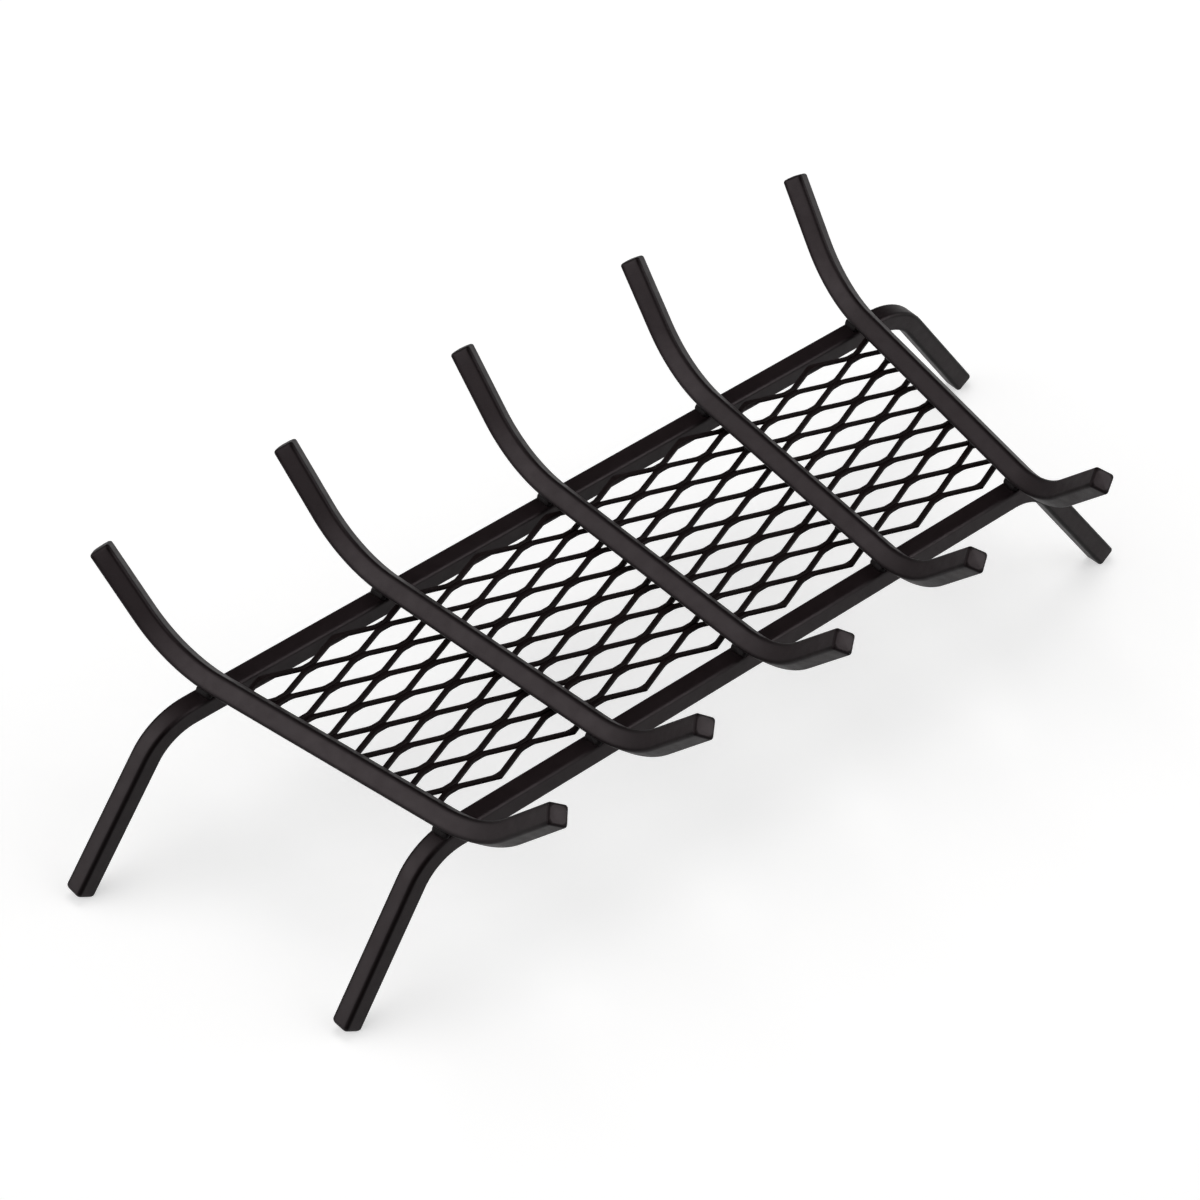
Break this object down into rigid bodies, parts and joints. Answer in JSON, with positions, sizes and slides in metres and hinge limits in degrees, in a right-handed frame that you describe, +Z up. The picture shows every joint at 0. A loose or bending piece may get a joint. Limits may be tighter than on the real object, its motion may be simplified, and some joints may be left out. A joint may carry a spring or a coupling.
{
  "type": "log grate",
  "caption": "Welded fireplace grate: upturned square log bars laid on edge across two rails bent down into legs, with an expanded mesh panel under the bars.",
  "frame": {"origin": "on the floor, under the middle of the grate's outer box", "axes": "+X along the rails, +Y towards the tall uprights, +Z up"},
  "size_m": [0.6958, 0.34, 0.1713],
  "materials": {
    "bar_coating": "satin black high-temperature coating, slightly warm, with a faint grain",
    "mesh_coating": "matte black coating on raised expanded steel",
    "weld_coating": "matte black coating over uneven weld metal"
  },
  "bodies": {
    "root": {"rail_upright_side": "bar_coating", "rail_lip_side": "bar_coating", "log_bar_1": "bar_coating", "log_bar_2": "bar_coating", "log_bar_3": "bar_coating", "log_bar_4": "bar_coating", "log_bar_5": "bar_coating", "mesh_panel": "mesh_coating", "welds_upright_side_1": "weld_coating", "welds_upright_side_2": "weld_coating", "welds_upright_side_3": "weld_coating", "welds_upright_side_4": "weld_coating", "welds_upright_side_5": "weld_coating", "welds_lip_side_1": "weld_coating", "welds_lip_side_2": "weld_coating", "welds_lip_side_3": "weld_coating", "welds_lip_side_4": "weld_coating", "welds_lip_side_5": "weld_coating", "mesh_tacks_1": "weld_coating", "mesh_tacks_2": "weld_coating", "mesh_tacks_3": "weld_coating", "mesh_tacks_4": "weld_coating", "mesh_tacks_5": "weld_coating"}
  },
  "joints": []
}
